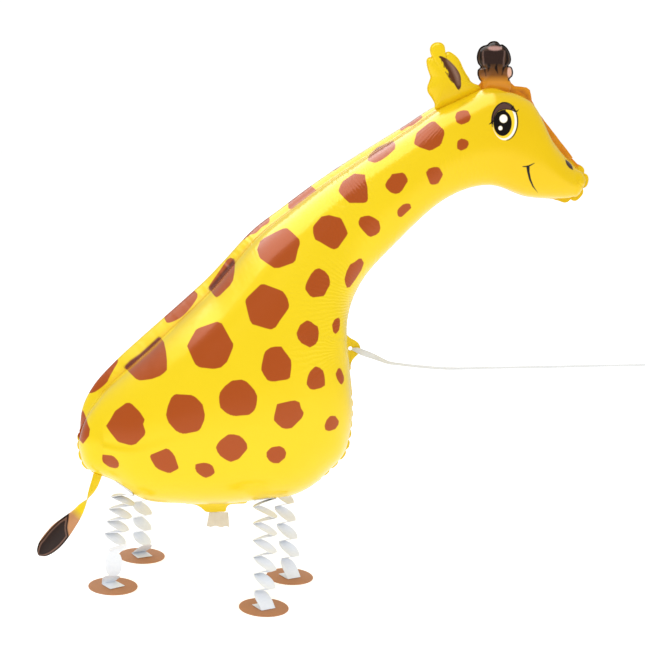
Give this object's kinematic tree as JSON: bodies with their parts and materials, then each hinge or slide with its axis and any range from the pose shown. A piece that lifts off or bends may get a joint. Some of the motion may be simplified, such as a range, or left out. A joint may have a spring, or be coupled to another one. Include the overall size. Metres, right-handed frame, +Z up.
{
  "type": "giraffe foil balloon",
  "caption": "Giraffe foil balloon that walks on folded paper strip legs with card disc feet, led by a flat ribbon from a tab on its chest.",
  "frame": {"origin": "on the floor, below the middle of the giraffe's box, ribbon left out", "axes": "+X the way the giraffe looks, +Y to its left, +Z up; the seam between its two foil panels lies in the plane Y = 0"},
  "size_m": [0.9052, 0.256, 0.757],
  "materials": {
    "yellow_foil": "satin printed foil",
    "tail_foil": "satin printed foil",
    "clear_film": "milky, see-through film",
    "white_paper": "matt folded paper",
    "brown_card": "matt cardboard",
    "white_ribbon": "soft sheen"
  },
  "bodies": {
    "root": {"balloon": "yellow_foil", "tail": "tail_foil", "inflation_valve": "clear_film", "right_rear_leg": "white_paper", "right_rear_foot": "brown_card", "left_rear_leg": "white_paper", "left_rear_foot": "brown_card", "right_front_leg": "white_paper", "right_front_foot": "brown_card", "left_front_leg": "white_paper", "left_front_foot": "brown_card", "ribbon": "white_ribbon", "ribbon_knot": "white_ribbon", "ribbon_loop": "white_ribbon"}
  },
  "joints": []
}
